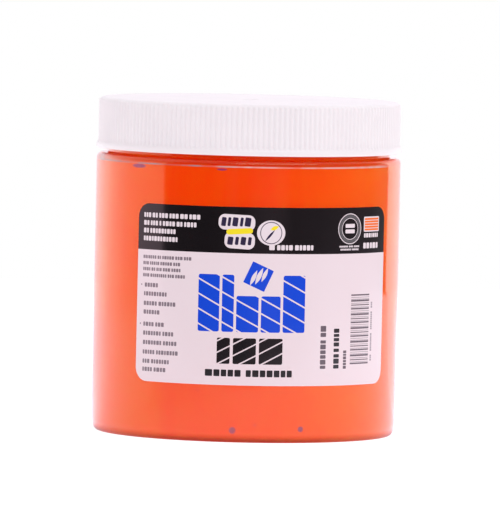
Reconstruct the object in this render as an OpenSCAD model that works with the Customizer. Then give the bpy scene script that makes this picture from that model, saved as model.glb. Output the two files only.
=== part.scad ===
// Wide-mouth ink jar with a ribbed screw cap, a cap liner, a wrap label and its fill of block-printing ink.
// Frame: origin at the centre of the standing ring, +Z up, label centred on -Y. Millimetres.

/* [Jar] */
// Outside diameter of the straight-sided body
body_d = 72.4; // [64:0.2:84]
// Height of the jar from the standing ring to the rim, without the cap
jar_h = 76.8; // [60:0.2:110]
// Wall thickness of the body
wall = 1.6; // [1.2:0.1:2.0]
// Thickness of the floor at the standing ring
floor_t = 1.2; // [1.0:0.1:3]
// How far the middle of the base is pushed up
push_up = 1.8; // [0.8:0.1:3]
// Height of the heel, where the wall starts to draw in towards the base
heel_h = 3.4; // [2:0.1:8]
// How far the heel draws in at the base
heel_w = 1.4; // [0.8:0.1:2.4]
// Outside radius of the shoulder corner
shoulder_r = 1.4; // [0.4:0.1:1.6]
// Thickness of the shoulder
shoulder_t = 1.4; // [0.8:0.1:1.8]

/* [Neck finish] */
// Height of the neck finish, from the shoulder to the rim
finish_h = 10.7; // [10.2:0.1:12]
// How far the thread's root cylinder is inside the body's diameter, on the diameter
neck_inset = 5.5; // [5:0.1:7]
// Height of the thread above the neck's root cylinder
thread_depth = 1.15; // [0.8:0.05:1.2]
// Rise of the one-start thread per turn, 6 threads to the inch
thread_pitch = 4.233; // [4.1:0.001:4.5]
// Length of the jar's thread in degrees
thread_arc = 360; // [270:5:390]

/* [Cap] */
// Height of the cap
cap_h = 12.0; // [11.6:0.1:13]
// Thickness of the cap's top panel
cap_top_t = 1.4; // [1.2:0.1:2]
// Number of grip ribs round the skirt
rib_count = 180; // [90:2:200]
// Height of a grip rib
rib_depth = 0.3; // [0.2:0.05:0.4]
// Height of the smooth bead at the bottom of the skirt
bead_h = 1.8; // [1.4:0.1:2.4]

/* [Cap liner] */
// Thickness of the foam liner
liner_t = 1.0; // [0.8:0.1:1.4]

/* [Ink] */
// Height of the ink's surface above the standing plane
ink_level = 68.4; // [50:0.1:72]
// Gap between the ink and the jar's inside wall
ink_gap = 0.02; // [0.01:0.01:0.1]

/* [Label] */
// Width of the label along the curved wall
label_w = 67.9; // [40:0.1:100]
// Height of the label
label_h = 41.8; // [20:0.1:48]
// Height of the label's lower edge above the standing plane
label_z = 13.5; // [6:0.1:16]
// Corner radius of the label
label_r = 3.3; // [1:0.1:6]
// Thickness of the label film and its adhesive
label_t = 0.10; // [0.06:0.01:0.2]

/* [Hidden] */
$fn = 180;

// Jar
R = body_d / 2;
Ri = R - wall;
shoulder_z = jar_h - finish_h;
shoulder_in_z = shoulder_z - shoulder_t;
neck_r = (body_d - neck_inset) / 2;      // thread root cylinder
bore_r = neck_r - 1.7;                   // mouth
crest_r = neck_r + thread_depth;         // thread crest
ring_in = R - 6.5;                       // inner edge of the standing ring
heel_in = 1.5;                           // inside radius of the heel
shoulder_in_r = 0.4;                     // inside radius of the shoulder corner
// Threads, as half widths of a trapezoid at its root and its crest
jar_half = [1.20, 0.55];
cap_half = [1.05, 0.45];
thread_top_z = jar_h - 2.6;              // centre of the thread at its upper end
thread_low_z = thread_top_z - thread_pitch * thread_arc / 360;
thread_ramp = 26;                        // degrees over which an end fades out
// Cap
cap_top_z = jar_h + liner_t + cap_top_t;
skirt_z = cap_top_z - cap_h;
skirt_in_r = crest_r + 0.2;              // clear of the jar's thread crest
valley_r = skirt_in_r + 0.8;             // outside, between the ribs
rib_r = valley_r + rib_depth;
bead_r = rib_r + 0.4;
cap_crest_r = neck_r + 0.25;             // clear of the jar's thread root
cap_thread_arc = 340;
cap_thread_from = 40;                    // where the cap's thread starts, past the lower end of the jar's
cap_thread_drop = 1.63;                  // the cap's thread sits this far under the jar's when closed
liner_r = skirt_in_r - 0.15;

function arc(cx, cz, r, a0, a1, n) =
    [for (i = [0:n]) let (a = a0 + (a1 - a0) * i / n) [cx + r * cos(a), cz + r * sin(a)]];

// The jar's inside from the middle of the floor up to height top, drawn g inside the true surface.
function inside(g, top) = concat(
    [for (i = [0:12]) let (r = ring_in * i / 12) [r, floor_t + g + push_up * (1 - pow(i / 12, 2))]],
    arc(Ri - heel_in, floor_t + heel_in, heel_in - g, -90, 0, 12),
    arc(Ri - shoulder_in_r, shoulder_in_z - shoulder_in_r, shoulder_in_r - g, 0, 90, 8),
    arc(bore_r + 0.8, shoulder_in_z + 0.8, 0.8 + g, 270, 180, 6),
    [[bore_r - g, top]]
);

// One solid helical thread. rr and rc are its root and crest radii, half its half widths there, and z0 its centre at
// angle a0. Its ends fade into the wall over thread_ramp degrees.
module helix(rr, rc, half, z0, a0, arc_deg) {
    n = round(arc_deg / 4);
    into = rc > rr ? -0.3 : 0.3;                       // how far the root is buried in its wall
    w = half[0] + 0.3 * (half[0] - half[1]) / abs(rc - rr);
    function fade(t) = min(1, t * arc_deg / thread_ramp, (1 - t) * arc_deg / thread_ramp);
    pts = [for (i = [0:n]) let (
            t = i / n, a = a0 + arc_deg * t, z = z0 + thread_pitch * arc_deg * t / 360,
            k = fade(t), top = rr + into + (rc - rr - into) * max(k, 0.06), hw = w + (half[1] - w) * max(k, 0.06))
        each [for (p = [[rr + into, -w], [top, -hw], [top, hw], [rr + into, w]])
            [p[0] * cos(a), p[0] * sin(a), z + p[1]]]];
    flip = rc > rr;
    quad = function (a, b, c, d) flip ? [[a, b, c], [a, c, d]] : [[a, c, b], [a, d, c]];
    faces = concat(
        flip ? [[3, 2, 1], [3, 1, 0]] : [[0, 1, 2], [0, 2, 3]],
        [for (i = [0:n - 1], j = [0:3]) each
            quad(4 * i + j, 4 * i + (j + 1) % 4, 4 * i + 4 + (j + 1) % 4, 4 * i + 4 + j)],
        flip ? [[4 * n, 4 * n + 1, 4 * n + 2], [4 * n, 4 * n + 2, 4 * n + 3]]
             : [[4 * n + 3, 4 * n + 2, 4 * n + 1], [4 * n + 3, 4 * n + 1, 4 * n]]
    );
    polyhedron(points = pts, faces = faces, convexity = 6);
}

// Clear moulded jar: push-up base, straight wall, square shoulder and a one-start threaded neck.
module jar() {
    outside = concat(
        [for (i = [0:12]) let (r = ring_in * i / 12) [r, push_up * (1 - pow(i / 12, 2))]],
        [for (i = [0:12]) let (a = 90 * i / 12 - 90) [R - heel_w + heel_w * cos(a), heel_h + heel_h * sin(a)]],
        arc(R - shoulder_r, shoulder_z - shoulder_r, shoulder_r, 0, 90, 8),
        arc(neck_r + 0.5, shoulder_z + 0.5, 0.5, 270, 180, 5),
        arc(neck_r - 0.4, jar_h - 0.4, 0.4, 0, 90, 5),
        arc(bore_r + 0.4, jar_h - 0.4, 0.4, 90, 180, 5)
    );
    back = inside(0, jar_h - 1.2);
    color([0.93, 0.95, 0.97, 0.35]) union() {
        rotate_extrude() polygon(concat(outside, [for (i = [len(back) - 1:-1:0]) back[i]]));
        helix(neck_r, crest_r, jar_half, thread_low_z, 0, thread_arc);
    }
}

// The jar's fill: ink up to the neck, slightly domed where it was poured.
module ink() {
    body = inside(ink_gap, ink_level - 0.5);
    color([0.93, 0.24, 0.03]) rotate_extrude()
        polygon(concat(body, [for (i = [10:-1:0]) let (r = (bore_r - ink_gap) * i / 10) [r, ink_level - 0.5 * pow(i / 10, 2)]]));
}

// Printed film label: a rounded rectangle of film wrapped round the wall.
module label() {
    hw = label_w / 2;
    corners = concat(
        arc(hw - label_r, label_z + label_r, label_r, -90, 0, 8),
        arc(hw - label_r, label_z + label_h - label_r, label_r, 0, 90, 8),
        arc(-hw + label_r, label_z + label_h - label_r, label_r, 90, 180, 8),
        arc(-hw + label_r, label_z + label_r, label_r, 180, 270, 8)
    );
    // Arc length along the wall becomes x on the front view of the cylinder
    outline = [for (p = corners) [R * sin(p[0] / R * 180 / PI), p[1]]];
    color([0.93, 0.89, 0.92]) intersection() {
        difference() {
            cylinder(r = R + label_t, h = jar_h);
            translate([0, 0, -1]) cylinder(r = R, h = jar_h + 2);
        }
        rotate([90, 0, 0]) linear_extrude(height = R + 2) polygon(outline);
    }
}

// Foam disc that seals the cap against the rim.
module cap_liner() {
    color([0.95, 0.95, 0.94]) translate([0, 0, jar_h]) cylinder(r = liner_r, h = liner_t);
}

// One turn of ribbed skirt as a flat outline: each rib rises from the valley to a narrow crest.
module rib_outline() {
    step = 360 / rib_count;
    polygon([for (i = [0:rib_count - 1], p = [[0, 0], [0.36, 1], [0.64, 1]])
        let (a = (i + p[0]) * step, r = valley_r + rib_depth * p[1]) [r * cos(a), r * sin(a)]]);
}

// Moulded screw cap: top panel, ribbed skirt, smooth bead and one internal thread.
module cap() {
    edge = 0.9;
    shell = concat(
        [[0, cap_top_z - 0.25], [2.0, cap_top_z - 0.25], [2.4, cap_top_z]],
        [[valley_r - edge, cap_top_z], [valley_r - edge + 0.45, cap_top_z - 0.12], [valley_r - 0.12, cap_top_z - 0.45],
         [valley_r - 0.04, cap_top_z - edge + 0.1], [valley_r - 0.04, cap_top_z - edge - 0.1], [valley_r - 0.3, cap_top_z - edge - 0.2]],
        [[valley_r - 0.3, skirt_z + bead_h - 0.2], [valley_r + 0.05, skirt_z + bead_h - 0.1], [bead_r - 0.05, skirt_z + bead_h - 0.7],
         [bead_r, skirt_z + bead_h - 0.85], [bead_r, skirt_z + 0.3], [bead_r - 0.1, skirt_z + 0.1], [bead_r - 0.3, skirt_z]],
        [[skirt_in_r + 0.3, skirt_z], [skirt_in_r, skirt_z + 0.3], [skirt_in_r, cap_top_z - cap_top_t], [0, cap_top_z - cap_top_t]]
    );
    color([0.95, 0.93, 0.95]) union() {
        rotate_extrude() polygon(shell);
        translate([0, 0, skirt_z + bead_h - 0.5]) linear_extrude(height = cap_h - bead_h - edge + 0.5)
            difference() {
                rib_outline();
                circle(r = valley_r - 0.5);
            }
        helix(skirt_in_r, cap_crest_r, cap_half,
              thread_low_z - cap_thread_drop + thread_pitch * cap_thread_from / 360, cap_thread_from, cap_thread_arc);
    }
}

jar();
ink();
label();
cap_liner();
cap();
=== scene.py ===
import math

import bmesh
import bpy
import numpy as np
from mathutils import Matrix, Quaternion, Vector


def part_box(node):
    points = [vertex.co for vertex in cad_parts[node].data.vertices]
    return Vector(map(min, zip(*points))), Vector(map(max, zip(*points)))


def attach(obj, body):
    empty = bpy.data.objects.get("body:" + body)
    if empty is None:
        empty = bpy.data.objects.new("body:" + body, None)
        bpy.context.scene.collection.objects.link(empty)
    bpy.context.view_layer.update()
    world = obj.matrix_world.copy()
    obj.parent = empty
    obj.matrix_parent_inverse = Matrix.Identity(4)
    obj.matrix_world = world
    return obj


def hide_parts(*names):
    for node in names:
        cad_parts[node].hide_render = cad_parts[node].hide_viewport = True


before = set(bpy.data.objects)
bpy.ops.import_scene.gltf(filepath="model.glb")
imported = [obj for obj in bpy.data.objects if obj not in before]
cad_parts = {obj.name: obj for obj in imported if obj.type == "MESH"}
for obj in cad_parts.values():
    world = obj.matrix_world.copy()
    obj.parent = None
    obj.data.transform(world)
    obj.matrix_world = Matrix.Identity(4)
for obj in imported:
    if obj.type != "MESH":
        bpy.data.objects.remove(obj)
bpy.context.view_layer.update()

# ---------------------------------------------------------------------------------------------------------------
# Sizes, in millimetres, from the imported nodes' boxes and the part's own proportions
# ---------------------------------------------------------------------------------------------------------------
MM = 0.001


def node_box(name):
    lo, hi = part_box(name)
    return [c * 1000 for c in lo], [c * 1000 for c in hi]


jar_lo, jar_hi = node_box("jar")
cap_lo, cap_hi = node_box("cap")
liner_lo, liner_hi = node_box("cap_liner")
ink_lo, ink_hi = node_box("ink")
label_lo, label_hi = node_box("label")

R = round(jar_hi[0], 2)                       # outside radius of the body
JAR_H = round(jar_hi[2], 2)                   # rim height
WALL = 1.6
RI = R - WALL
FLOOR_T, PUSH_UP, HEEL_H, HEEL_W = 1.2, 1.8, 3.4, 1.4
SHOULDER_R, SHOULDER_T, SHOULDER_IN_R = 1.4, 1.4, 0.4
SHOULDER_Z = JAR_H - 10.7
SHOULDER_IN_Z = SHOULDER_Z - SHOULDER_T
NECK_R = R - 2.75
BORE_R = NECK_R - 1.7
CREST_R = NECK_R + 1.15
RING_IN = R - 6.5
HEEL_IN = 1.5
PITCH = 4.233
THREAD_TOP = JAR_H - 2.6
THREAD_LOW = THREAD_TOP - PITCH
CAP_TOP = round(cap_hi[2], 2)
SKIRT_Z = round(cap_lo[2], 2)
SKIRT_IN = CREST_R + 0.2
VALLEY_R = SKIRT_IN + 0.8
RIB_DEPTH = 0.3
BEAD_R = VALLEY_R + RIB_DEPTH + 0.4
BEAD_H = 1.8
CAP_TOP_T = 1.4
CAP_CREST = NECK_R + 0.25
LINER_R = round(liner_hi[0], 2)
LINER_LO, LINER_HI = round(liner_lo[2], 2), round(liner_hi[2], 2)
INK_LEVEL = round(ink_hi[2], 2)
LABEL_T = 0.10
LABEL_W, LABEL_H, LABEL_Z, LABEL_R = 67.9, 41.8, round(label_lo[2], 2), 3.3
RIBS = 180


# ---------------------------------------------------------------------------------------------------------------
# Mesh helpers
# ---------------------------------------------------------------------------------------------------------------
def smoothstep(x, a, b):
    t = np.clip((np.asarray(x, float) - a) / (b - a), 0, 1)
    return t * t * (3 - 2 * t)


class Lathe:
    """A closed surface of rings about Z. A ring is an apex (radius 0) or a closed loop of columns, whose radius and
    height may change with the angle. Neighbouring rings have the same column count, or counts in the ratio 4 to 1."""

    def __init__(self):
        self.co, self.faces, self.last = [], [], None
        self.count = 0

    def ring(self, theta, r, z):
        """theta in radians; r and z are numbers or arrays over theta."""
        n = len(theta)
        r = np.broadcast_to(np.asarray(r, float), n)
        z = np.broadcast_to(np.asarray(z, float), n)
        self._add(np.stack([r * np.cos(theta), r * np.sin(theta), z], 1))

    def apex(self, z):
        self._add(np.array([[0.0, 0.0, z]]))

    def _add(self, pts):
        start, n = self.count, len(pts)
        self.co.append(pts)
        self.count += n
        if self.last is not None:
            s0, n0 = self.last
            if n0 == 1 and n == 1:
                raise ValueError("two apexes in a row")
            if n0 == 1 or n == 1:
                a, (b, m) = (s0, (start, n)) if n0 == 1 else (start, (s0, n0))
                flip = n0 != 1
                for i in range(m):
                    j = (i + 1) % m
                    self.faces.append((a, b + i, b + j) if not flip else (a, b + j, b + i))
            elif n0 == n:
                i = np.arange(n)
                j = (i + 1) % n
                self.faces.extend(map(tuple, np.stack([s0 + i, start + i, start + j, s0 + j], 1).tolist()))
            else:
                coarse, fine, up = ((s0, start, True) if n0 < n else (start, s0, False))
                m = min(n0, n)
                if max(n0, n) != 4 * m:
                    raise ValueError("rings must match or be 4 to 1")
                for i in range(m):
                    c0, c1 = coarse + i, coarse + (i + 1) % m
                    f = [fine + (4 * i + k) % (4 * m) for k in range(5)]
                    tris = [(c0, f[0], f[1]), (c0, f[1], f[2]), (c0, f[2], c1), (c1, f[2], f[3]), (c1, f[3], f[4])]
                    self.faces.extend(tris if up else [t[::-1] for t in tris])
        self.last = (start, n)

    def close(self):
        """Joins the last ring to the first one."""
        co0 = self.co[0]
        s0, n0 = self.last
        n = len(co0)
        if n != n0:
            raise ValueError("closing rings differ")
        i = np.arange(n)
        j = (i + 1) % n
        self.faces.extend(map(tuple, np.stack([s0 + i, i, j, s0 + j], 1).tolist()))

    def mesh(self, name, material):
        return make_object(name, np.concatenate(self.co), self.faces, [material])


def make_object(name, co_mm, faces, materials, smooth=True, sharp_deg=None, recalc=True):
    me = bpy.data.meshes.new(name)
    me.from_pydata((np.asarray(co_mm) * MM).tolist(), [], faces)
    me.validate()
    if recalc:
        bm = bmesh.new()
        bm.from_mesh(me)
        bmesh.ops.recalc_face_normals(bm, faces=bm.faces)
        bm.to_mesh(me)
        bm.free()
    me.polygons.foreach_set("use_smooth", [smooth] * len(me.polygons))
    if sharp_deg is not None:
        me.set_sharp_from_angle(angle=math.radians(sharp_deg))
    for m in materials:
        me.materials.append(m)
    ob = bpy.data.objects.new(name, me)
    bpy.context.scene.collection.objects.link(ob)
    return ob


def arc(cx, cz, r, a0, a1, n):
    return [(cx + r * math.cos(math.radians(a0 + (a1 - a0) * i / n)),
             cz + r * math.sin(math.radians(a0 + (a1 - a0) * i / n))) for i in range(n + 1)]


def rounded(points, radii, seg=6, hold=0.12):
    """A polyline of (r, z) with each inner corner rounded by its radius, and a holding point just past each rounding."""
    out = [points[0]]
    for i in range(1, len(points) - 1):
        p, a, b = (np.array(points[k], float) for k in (i, i - 1, i + 1))
        rad = radii[i]
        if rad <= 0:
            out.append(tuple(p))
            continue
        u, v = (a - p) / np.linalg.norm(a - p), (b - p) / np.linalg.norm(b - p)
        half = math.acos(max(-1, min(1, float(u @ v)))) / 2
        t = min(rad / math.tan(half), 0.48 * np.linalg.norm(a - p), 0.48 * np.linalg.norm(b - p))
        rr = t * math.tan(half)
        c = p + (u + v) / np.linalg.norm(u + v) * (rr / math.sin(half))
        s, e = p + u * t - c, p + v * t - c
        a0, a1 = math.atan2(s[1], s[0]), math.atan2(e[1], e[0])
        d = (a1 - a0 + math.pi) % (2 * math.pi) - math.pi
        if np.linalg.norm(a - p) > t + hold * 2:
            out.append(tuple(p + u * (t + hold)))
        for k in range(seg + 1):
            w = a0 + d * k / seg
            out.append((float(c[0] + rr * math.cos(w)), float(c[1] + rr * math.sin(w))))
        if np.linalg.norm(b - p) > t + hold * 2:
            out.append(tuple(p + v * (t + hold)))
    out.append(points[-1])
    return out


def thread_height(theta, z, z_of, a0, a1, half_root, half_crest, ramp):
    """0 to 1: how far the thread stands out at each angle for height z. It runs from a0 to a1 degrees."""
    deg = np.degrees(theta) % 360
    best = np.zeros(len(theta))
    for turn in (0, 360):
        d = deg + turn
        fade = np.clip(np.minimum(d - a0, a1 - d) / ramp, 0, 1)
        dz = np.abs(z - z_of(d))
        h = np.clip((half_root - dz) / (half_root - half_crest), 0, 1)
        h = h * h * (3 - 2 * h) * 0.35 + h * 0.65
        best = np.maximum(best, h * fade * fade * (3 - 2 * fade))
    return best


# ---------------------------------------------------------------------------------------------------------------
# Node material helpers
# ---------------------------------------------------------------------------------------------------------------
class Mat:
    def __init__(self, name):
        self.m = bpy.data.materials.new(name)
        self.m.use_nodes = True
        self.nt = self.m.node_tree
        self.nt.nodes.clear()
        self.out = self.nt.nodes.new("ShaderNodeOutputMaterial")

    def n(self, kind, **kw):
        node = self.nt.nodes.new(kind)
        for k, v in kw.items():
            setattr(node, k, v)
        return node

    def link(self, a, b):
        self.nt.links.new(a, b)

    def coord(self):
        """Position in the row frame in millimetres."""
        tc = self.n("ShaderNodeTexCoord")
        vm = self.n("ShaderNodeVectorMath", operation="SCALE")
        vm.inputs["Scale"].default_value = 1000.0
        self.link(tc.outputs["Object"], vm.inputs[0])
        return vm.outputs[0]

    def noise(self, coord, scale, detail=2.0, rough=0.5, stretch=None):
        if stretch is not None:
            st = self.n("ShaderNodeVectorMath", operation="MULTIPLY")
            st.inputs[1].default_value = stretch
            self.link(coord, st.inputs[0])
            coord = st.outputs[0]
        t = self.n("ShaderNodeTexNoise")
        t.inputs["Scale"].default_value = scale
        t.inputs["Detail"].default_value = detail
        t.inputs["Roughness"].default_value = rough
        self.link(coord, t.inputs["Vector"])
        return t.outputs["Fac"]

    def math(self, op, a, b=None, c=None, clamp=False):
        m = self.n("ShaderNodeMath", operation=op, use_clamp=clamp)
        for i, v in enumerate((a, b, c)):
            if v is None:
                continue
            if isinstance(v, (int, float)):
                m.inputs[i].default_value = v
            else:
                self.link(v, m.inputs[i])
        return m.outputs[0]

    def remap(self, v, a, b, c, d, smooth=False):
        m = self.n("ShaderNodeMapRange")
        if smooth:
            m.interpolation_type = "SMOOTHSTEP"
        self.link(v, m.inputs["Value"])
        for name, x in zip(("From Min", "From Max", "To Min", "To Max"), (a, b, c, d)):
            m.inputs[name].default_value = x
        return m.outputs["Result"]

    def mix(self, fac, a, b):
        m = self.n("ShaderNodeMix", data_type="RGBA")
        for s, v in ((m.inputs[0], fac), (m.inputs[6], a), (m.inputs[7], b)):
            if isinstance(v, (int, float)):
                s.default_value = v
            elif isinstance(v, tuple):
                s.default_value = (*v, 1.0) if len(v) == 3 else v
            else:
                self.link(v, s)
        return m.outputs[2]

    def bump(self, height, distance, strength=1.0, normal=None):
        b = self.n("ShaderNodeBump")
        b.inputs["Strength"].default_value = strength
        b.inputs["Distance"].default_value = distance
        self.link(height, b.inputs["Height"])
        if normal is not None:
            self.link(normal, b.inputs["Normal"])
        return b.outputs["Normal"]

    def principled(self, **kw):
        p = self.n("ShaderNodeBsdfPrincipled")
        for k, v in kw.items():
            s = p.inputs[k.replace("_", " ")]
            if isinstance(v, (int, float)):
                s.default_value = v
            elif isinstance(v, tuple):
                s.default_value = (*v, 1.0) if len(v) == 3 else v
            else:
                self.link(v, s)
        return p

    def surface(self, socket):
        self.link(socket, self.out.inputs["Surface"])
        return self.m


def clear_plastic():
    """Moulded clear plastic: glass-like to the eye, open to the lamps and to light bounced off the ink behind it."""
    m = Mat("clear_plastic")
    c = m.coord()
    wave = m.noise(c, 0.16, 1.0, 0.4, stretch=(1.0, 1.0, 0.25))
    fine = m.noise(c, 2.2, 3.0, 0.55)
    n1 = m.bump(wave, 0.00006, 0.5)
    n2 = m.bump(fine, 0.0000015, 0.6, n1)
    scuff = m.noise(c, 0.9, 4.0, 0.6)
    rough = m.remap(scuff, 0.45, 0.8, 0.012, 0.05)
    p = m.principled(Base_Color=(0.985, 0.985, 0.98), Roughness=rough, IOR=1.57, Transmission_Weight=1.0, Normal=n2,
                     Specular_Tint=(1.0, 1.0, 0.64))
    t = m.n("ShaderNodeBsdfTransparent")
    t.inputs["Color"].default_value = (0.97, 0.97, 0.965, 1)
    lp = m.n("ShaderNodeLightPath")
    open_ray = m.math("MAXIMUM", lp.outputs["Is Shadow Ray"], lp.outputs["Is Diffuse Ray"])
    mx = m.n("ShaderNodeMixShader")
    m.link(open_ray, mx.inputs[0])
    m.link(p.outputs[0], mx.inputs[1])
    m.link(t.outputs[0], mx.inputs[2])
    return m.surface(mx.outputs[0])


def ink_paste():
    """Thick orange relief ink: matt where it lies against the wall, wet and glossy on its open surface."""
    m = Mat("ink_paste")
    c = m.coord()
    streak = m.noise(c, 0.35, 3.0, 0.55, stretch=(1.0, 1.0, 0.12))
    cloud = m.noise(c, 0.09, 3.0, 0.5)
    sep = m.n("ShaderNodeSeparateXYZ")
    m.link(c, sep.inputs[0])
    # painted light: the paste's colour runs lighter and yellower towards the right, where the light falls stronger, and
    # towards the far left, where the left white panel is mirrored
    side = m.remap(sep.outputs["X"], -8.0, 32.0, 0.0, 1.0, smooth=True)
    painted_left_light = m.remap(sep.outputs["X"], -21.5, -25.5, 0.0, 0.6, smooth=True)
    base = m.mix(m.math("MAXIMUM", side, painted_left_light), (0.968, 0.062, 0.0010), (0.992, 0.140, 0.0030))
    base = m.mix(m.remap(streak, 0.35, 0.75, 0.0, 0.35), base, (0.980, 0.118, 0.0030))
    base = m.mix(m.remap(cloud, 0.35, 0.7, 0.0, 0.3), base, (0.95, 0.058, 0.0010))
    # a few trapped specks near the base and the shoulder
    for px, pz, rr, flat, depth in SPECKS:
        ang = px / R
        d = m.n("ShaderNodeVectorMath", operation="SUBTRACT")
        m.link(c, d.inputs[0])
        d.inputs[1].default_value = (34.65 * math.sin(ang), -34.65 * math.cos(ang), pz)
        st = m.n("ShaderNodeVectorMath", operation="MULTIPLY")
        m.link(d.outputs[0], st.inputs[0])
        st.inputs[1].default_value = (1.0, 1.0, flat)
        ln = m.n("ShaderNodeVectorMath", operation="LENGTH")
        m.link(st.outputs[0], ln.inputs[0])
        near = m.remap(m.math("ADD", ln.outputs["Value"], m.math("MULTIPLY", streak, 0.25 * rr)), rr * 0.75, rr * 1.2,
                       depth, 0.0, smooth=True)
        base = m.mix(near, base, (0.26, 0.055, 0.20))
    top = m.remap(sep.outputs["Z"], INK_LEVEL - 1.6, INK_LEVEL - 1.1, 0.0, 1.0)
    spec = m.math("MULTIPLY", top, 0.5)
    small = m.noise(c, 1.4, 4.0, 0.6)
    nb = m.bump(small, 0.00012, 0.35)
    p = m.principled(Base_Color=base, Roughness=m.remap(small, 0.3, 0.7, 0.16, 0.3), Specular_IOR_Level=spec, Normal=nb,
                     Subsurface_Weight=INK_SSS, Subsurface_Scale=0.0022)
    p.inputs["Subsurface Radius"].default_value = (1.0, 0.18, 0.05)
    # painted glow: the paste glows red in a band from just under the shoulder up into the neck, where the cap's shade
    # falls, and faintly all over
    painted_shoulder_glow = m.remap(sep.outputs["Z"], SHOULDER_IN_Z - 0.35, SHOULDER_IN_Z - 0.05, 0.0, 1.0)
    painted_shoulder_glow = m.math("MULTIPLY", painted_shoulder_glow, m.remap(sep.outputs["Z"], SHOULDER_IN_Z + 0.9, SHOULDER_IN_Z + 2.5, 1.0, 0.0))
    m.link(m.math("ADD", m.math("MULTIPLY", painted_shoulder_glow, 0.13), 0.045), p.inputs["Emission Strength"])
    p.inputs["Emission Color"].default_value = (1.0, 0.012, 0.002, 1)
    # painted highlight standing in for a sliver of air along the shoulder's inside corner: a thin glowing line, broken
    # in places, grey-lilac on the left and pale pink to the right, fading out at the far right
    painted_glint_band = m.math("ABSOLUTE", m.math("SUBTRACT", sep.outputs["Z"], SHOULDER_IN_Z - 0.17))
    painted_glint_band = m.remap(painted_glint_band, 0.09, 0.20, 1.0, 0.0)
    run = m.noise(c, 0.20, 2.0, 0.5, stretch=(1.0, 1.0, 0.0))
    painted_glint_band = m.math("MULTIPLY", painted_glint_band, m.remap(run, 0.40, 0.58, 0.30, 1.0))
    painted_glint_band = m.math("MULTIPLY", painted_glint_band, m.remap(sep.outputs["X"], 26.5, 30.5, 1.0, 0.1))
    painted_glint = m.n("ShaderNodeEmission")
    m.link(m.mix(m.remap(sep.outputs["X"], -18.0, -5.0, 0.0, 1.0), (0.44, 0.22, 0.24), (0.84, 0.44, 0.42)),
           painted_glint.inputs["Color"])
    mx = m.n("ShaderNodeMixShader")
    m.link(painted_glint_band, mx.inputs[0])
    m.link(p.outputs[0], mx.inputs[1])
    m.link(painted_glint.outputs[0], mx.inputs[2])
    return m.surface(mx.outputs[0])


def printed(name, colour, rough=0.3, spec=0.5, vary=0.06, grain=9.0):
    """Printed film: one ink colour with the faint mottle of a press and a satin finish."""
    m = Mat(name)
    c = m.coord()
    mottle = m.noise(c, grain, 2.0, 0.6)
    cloud = m.noise(c, 0.22, 2.0, 0.5)
    dark = tuple(x * (1 - vary) for x in colour)
    light = tuple(min(1.0, x * (1 + vary)) for x in colour)
    base = m.mix(m.remap(mottle, 0.3, 0.7, 0.0, 1.0), dark, light)
    base = m.mix(m.remap(cloud, 0.3, 0.7, 0.0, 0.35), base, dark)
    n1 = m.bump(m.noise(c, 0.35, 2.0, 0.5), 0.00003, 0.4)
    n2 = m.bump(mottle, 0.000003, 0.3, n1)
    p = m.principled(Base_Color=base, Roughness=m.remap(mottle, 0.3, 0.7, rough - 0.02, rough + 0.03),
                     Specular_IOR_Level=spec, Normal=n2)
    # the film is thin and lets light through to the ink behind it, so it casts no dark edge on the ink
    t = m.n("ShaderNodeBsdfTransparent")
    t.inputs["Color"].default_value = (0.96, 0.96, 0.96, 1)
    lp = m.n("ShaderNodeLightPath")
    mx = m.n("ShaderNodeMixShader")
    m.link(m.math("MAXIMUM", lp.outputs["Is Shadow Ray"], lp.outputs["Is Diffuse Ray"]), mx.inputs[0])
    m.link(p.outputs[0], mx.inputs[1])
    m.link(t.outputs[0], mx.inputs[2])
    return m.surface(mx.outputs[0])


def moulded_white():
    """White moulded cap plastic: satin, with a fine spark-eroded grain and faint handling marks."""
    m = Mat("cap_plastic")
    c = m.coord()
    grain = m.noise(c, 6.0, 3.0, 0.6)
    cloud = m.noise(c, 0.12, 2.0, 0.5)
    base = m.mix(m.remap(cloud, 0.3, 0.7, 0.0, 1.0), (0.855, 0.795, 0.838), (0.885, 0.822, 0.862))
    scuff = m.noise(c, 0.7, 6.0, 0.7)
    base = m.mix(m.remap(scuff, 0.68, 0.8, 0.0, 0.12), base, (0.62, 0.57, 0.60))
    nb = m.bump(grain, 0.000006, 0.5)
    p = m.principled(Base_Color=base, Roughness=m.remap(grain, 0.3, 0.7, 0.34, 0.46), Specular_IOR_Level=0.45,
                     Normal=nb, Subsurface_Weight=0.08, Subsurface_Scale=0.001)
    p.inputs["Subsurface Radius"].default_value = (1.0, 0.8, 0.8)
    return m.surface(p.outputs[0])


def foam():
    """Closed-cell liner foam with fine pores."""
    m = Mat("liner_foam")
    c = m.coord()
    cells = m.n("ShaderNodeTexVoronoi")
    cells.inputs["Scale"].default_value = 3.2
    m.link(c, cells.inputs["Vector"])
    d = cells.outputs["Distance"]
    tone = m.noise(c, 0.5, 3.0, 0.6)
    base = m.mix(m.remap(d, 0.0, 0.22, 1.0, 0.0), (0.86, 0.86, 0.84), (0.62, 0.62, 0.60))
    base = m.mix(m.remap(tone, 0.3, 0.7, 0.0, 0.3), base, (0.92, 0.91, 0.88))
    nb = m.bump(m.remap(d, 0.0, 0.3, 0.0, 1.0), 0.00008, 0.5)
    p = m.principled(Base_Color=base, Roughness=0.75, Specular_IOR_Level=0.3, Normal=nb)
    return m.surface(p.outputs[0])


# Specks in the ink against the wall: (distance round the wall from the label's centre, height, radius, how much wider
# than tall, depth of colour)
SPECKS = [(-8.3, 2.9, 0.85, 1.0, 0.75), (8.5, 3.3, 0.75, 1.0, 0.85), (-2.9, 4.2, 0.28, 1.0, 0.6), (-35.2, 63.9, 2.5, 4.6, 0.85),
          (-12.2, 63.9, 1.4, 4.5, 0.85), (-17.0, 12.0, 0.25, 1.0, 0.4)]

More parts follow.
